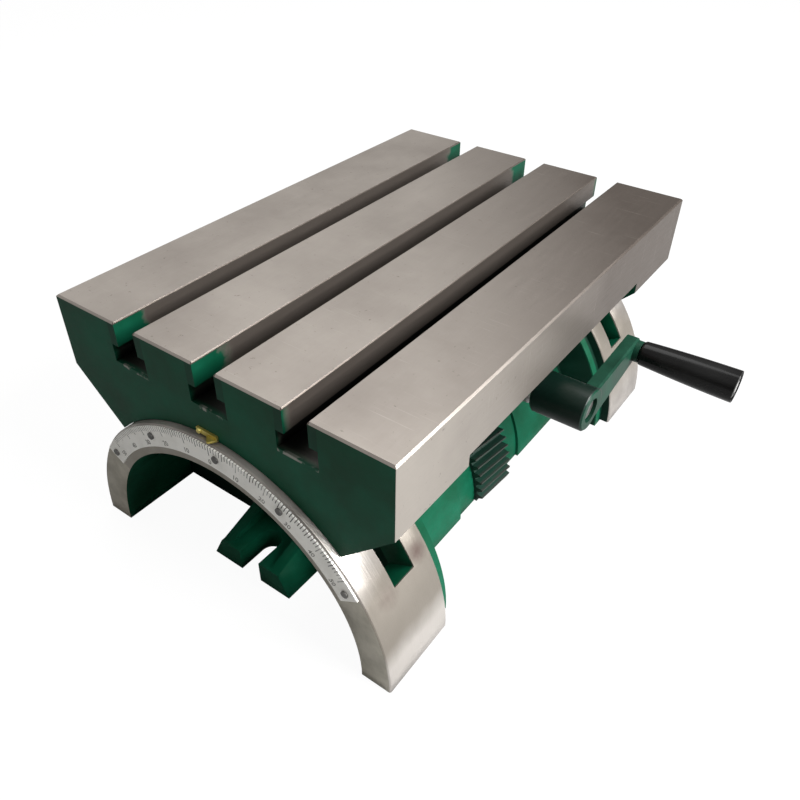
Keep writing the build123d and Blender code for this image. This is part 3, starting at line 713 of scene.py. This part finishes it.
# Ground faces: soft marks, painted shade towards the back right, on the long
# sides, on the right land and on the slot-mouth chamfers, specks and long scratches.
marks = table.cloud(16.0, detail=5.0, rough=0.6)
grinding_way = table.stretch((14.0, 0.7, 14.0))
scratch_way = table.stretch((0.8, 30.0, 1.0))
grain = table.cloud(90.0, detail=6.0, rough=0.6, where=grinding_way)
specks = table.ramp(table.cloud(420.0, detail=3.0, rough=0.7), *speck_range)
scratches = table.cloud(40.0, detail=3.0, rough=0.6, where=scratch_way)
scratches = table.ramp(scratches, *scratch_range)
# Painted shade: darker towards the back right, on the long sides and on the right land.
to_back_right = table.plus(
    table.y,
    table.times(table.x, shade_lean),
    table.times(marks, shade_patchy),
    table.times(side, side_shade),
)
right_land_shade = table.ramp(table.x, slot_pitch, slot_pitch + right_land_edge)
right_land_shade = table.times(right_land_shade, right_land_share)
tone_shift = table.larger(table.ramp(to_back_right, *shade_reach), right_land_shade)
# Painted shade on the chamfers at the slot mouths.
mouth_shade = table.times(
    table.is_below(table.z, table_top - mouth_depth),
    table.is_below(beside_slot, mouth_half_width),
)
ground = table.blend(table.ramp(marks, *land_mark_range), land_iron_dark, land_iron)
ground = table.blend(table.times(side, table.ramp(marks, *side_mark_range)), ground, side_iron)
ground = table.blend(tone_shift, ground, shade_and_speck_iron)
ground = table.blend(mouth_shade, ground, slot_iron)
ground = table.blend(table.times(specks, speck_share), ground, shade_and_speck_iron)
ground = table.blend(table.times(scratches, scratch_share), ground, side_iron)

# Slots: green near the ends where the paint ran in, most of all on the left,
# then bare and dark iron. Painted shade darkens the paint in them, and lies
# black under the neck.
paint_share = table.plus(overspray_least, table.ramp(table.x, *overspray_side))
ragged = table.times(table.cloud(60.0, detail=5.0), paint_share, overspray_reach)
bare_slot = table.times(in_slot, table.ramp(table.minus(from_end, ragged), *overspray_range))
# Painted shade, black, under the neck a little way in from each end.
under_neck_shade = table.times(in_slot, table.ramp(table.z, *neck_skin), table.ramp(from_end, *under_neck_shade_start))

# Painted ends: chips in the paint just under each slot's floor.
paint, paint_rough, paint_height = green_enamel(table)
from_chip_line = table.size_of(table.plus(table.z, chip_below_floor - slot_floor))
chip = table.times(
    table.ramp(from_chip_line, *chip_height_range),
    table.is_below(beside_slot, slot_half_width),
    table.is_below(from_end, chip_depth),
    table.ramp(table.cloud(150.0, detail=3.0), *chip_patch_range),
)
paint = table.blend(chip, paint, chipped_iron)
# Painted shade: the paint inside the slots is darker.
paint = table.blend(table.times(in_slot, slot_shade_share), paint, slot_shade_green)
rest = table.blend(under_neck_shade, table.blend(bare_slot, paint, slot_iron), slot_shade_black)

bare = table.larger(ground_share, bare_slot)
ground_rough = table.plus(ground_rough_low, table.times(grain, ground_rough_spread))
table.set(
    color=table.blend(ground_share, rest, ground),
    metallic=table.times(bare, ground_metallic),
    rough=table.weigh(bare, paint_rough, ground_rough),
    gloss=table.weigh(bare, paint_gloss, metal_gloss),
)
table.dents(paint_height, strength=0.10, depth=0.0003)
dress(table, "table_casting")

# Worm bracket: a green casting with two bearing lugs and a sleeve, held to the
# pad under the table by four cap screws.
bracket = Finish("bracket_enamel")
paint, paint_rough, paint_height = green_enamel(bracket)
bracket.set(color=paint, metallic=0.0, rough=paint_rough, gloss=paint_gloss)
bracket.dents(paint_height, casting_bump, casting_bump_depth)
dress(bracket, "worm_bracket")

# Pointer: a stamped brass strip with a bent tip, held to the table's front end
# by one round-headed brass screw.
brass = plain_metal(
    "stamped_brass",
    dark=(0.42, 0.33, 0.07, 1),
    light=(0.70, 0.60, 0.18, 1),
    metallic=0.8,
    rough=0.3,
)
dress(brass, "angle_pointer", "pointer_screw")

# Crank: hub and flat arm in one green casting with glossy paint. The hub is
# dark with painted shade, and a set screw holds it on the worm shaft.
crank_green = (0.008, 0.043, 0.026, 1)
crank_green_deep = (0.004, 0.024, 0.014, 1)
# Colour and gloss of the painted shade on the hub.
hub_shade = (0.0015, 0.009, 0.006, 1)
crank_gloss = 0.3
hub_shade_gloss = 0.1
crank_rough_low = 0.28
crank_rough_spread = 0.2
shaft_height = 0.0745
hub_skin_inner = 0.0101
hub_skin_outer = 0.0108
arm_back = 0.1003
arm_back_edge = 0.0004

crank = Finish("crank_enamel")
crank_mottle = crank.cloud(70.0, detail=4.0)
from_shaft = crank.length_of(crank.y, crank.minus(crank.z, shaft_height))
off_skin = crank.larger(
    crank.is_below(from_shaft, hub_skin_inner),
    crank.is_above(from_shaft, hub_skin_outer),
)
arm_share = crank.times(off_skin, crank.ramp(crank.x, arm_back - arm_back_edge, arm_back))
crank_paint = crank.blend(crank.ramp(crank_mottle, *mottle_range), crank_green_deep, crank_green)
# Painted shade: the hub and its outer skin take the dark colour.
crank.set(
    color=crank.blend(arm_share, hub_shade, crank_paint),
    metallic=0.0,
    rough=crank.plus(crank_rough_low, crank.times(crank_mottle, crank_rough_spread)),
    gloss=crank.weigh(arm_share, crank_gloss, hub_shade_gloss),
)
crank.dents(crank.cloud(500.0, detail=3.0), strength=0.25, depth=0.0003)
dress(crank, "crank")

# Grip spindle: a slotted steel screw with a plain shank, fixed in the end of the
# crank's arm. Its pale, half-metallic colour is a painted highlight.
spindle_steel = plain_metal(
    "spindle_steel_painted_highlight",
    dark=(0.55, 0.55, 0.54, 1),
    light=(0.82, 0.82, 0.80, 1),
    metallic=0.45,
    rough=0.2,
)
dress(spindle_steel, "grip_spindle")

# Grip: a tapered black plastic handle, turned and polished, which spins on the
# headed spindle. It swells a little towards its end, where a recess holds the
# spindle's head.
grip_black = (0.004, 0.004, 0.004, 1)
grip_grey = (0.010, 0.010, 0.010, 1)
grip_gloss = 0.2
grip_rough_low = 0.09
grip_rough_spread = 0.20
grip_wear_range = (0.40, 0.75)
grip_near_radius = 0.0061
grip_far_radius = 0.0079
grip_swell = 0.6
grip_round = 0.0013
grip_bore = 0.00304
grip_recess_radius = 0.0039
grip_recess_depth = 0.0026
grip_sides = 96
grip_rings = 25
grip_round_steps = 6
grip_corner_angle = 50
grip_low, grip_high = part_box("grip")


def turned_grip():
    """Surface of revolution about X. With t from 0 at the arm to 1 at the end, the radius is
    near + (far - near) * t * (1 + swell - swell * t), with a quarter circle at each end."""
    length = grip_high[0] - grip_low[0]
    along = np.linspace(0.0, 1.0, grip_rings)
    body_x = grip_round + along * (length - 2 * grip_round)
    taper = along * (1 + grip_swell - grip_swell * along)
    body_r = grip_near_radius + (grip_far_radius - grip_near_radius) * taper
    near_bend = np.linspace(0.0, pi / 2, grip_round_steps + 1)[:-1]
    far_bend = pi / 2 - near_bend
    recess_x = length - grip_recess_depth
    x = np.concatenate((
        [0.0],
        grip_round * (1 - np.cos(near_bend)),
        body_x,
        length - grip_round * (1 - np.sin(far_bend)),
        [length, recess_x, recess_x],
    ))
    r = np.concatenate((
        [grip_bore],
        grip_near_radius - grip_round * (1 - np.sin(near_bend)),
        body_r,
        grip_far_radius - grip_round * (1 - np.cos(pi / 2 - far_bend)),
        [grip_recess_radius, grip_recess_radius, grip_bore],
    ))
    turn = np.arange(grip_sides) * 2 * pi / grip_sides
    points = np.stack((
        np.repeat(grip_low[0] + x, grip_sides),
        (grip_low[1] + grip_high[1]) / 2 + np.outer(r, np.cos(turn)).ravel(),
        (grip_low[2] + grip_high[2]) / 2 + np.outer(r, np.sin(turn)).ravel(),
    ), axis=1)
    ring = np.arange(len(x))[:, None] * grip_sides
    ahead = (ring + grip_sides) % (len(x) * grip_sides)
    here = np.arange(grip_sides)[None, :]
    beside = (here + 1) % grip_sides
    faces = np.stack((ring + here, ahead + here, ahead + beside, ring + beside), axis=2)
    mesh = bpy.data.meshes.new("turned_grip")
    mesh.from_pydata(points.tolist(), [], faces.reshape(-1, 4).tolist())
    return mesh


grip_mesh = turned_grip()
grip_mesh.shade_smooth()
turned = bpy.data.objects.new("turned_grip", grip_mesh)
bpy.context.collection.objects.link(turned)
corners = turned.modifiers.new("corners", "EDGE_SPLIT")
corners.split_angle = radians(grip_corner_angle)

grip = Finish("polished_black_plastic")
grip_wear = grip.cloud(60.0, detail=5.0, rough=0.6, where=grip.stretch((0.5, 1.0, 1.0)))
grip.set(
    color=grip.blend(grip.ramp(grip_wear, *grip_wear_range), grip_black, grip_grey),
    metallic=0.0,
    rough=grip.plus(grip_rough_low, grip.times(grip_wear, grip_rough_spread)),
    gloss=grip_gloss,
)
grip.dents(grip.cloud(300.0, detail=2.0), strength=0.06, depth=0.0002)
grip_mesh.materials.append(grip.material)
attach(turned, "grip")
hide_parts("grip")
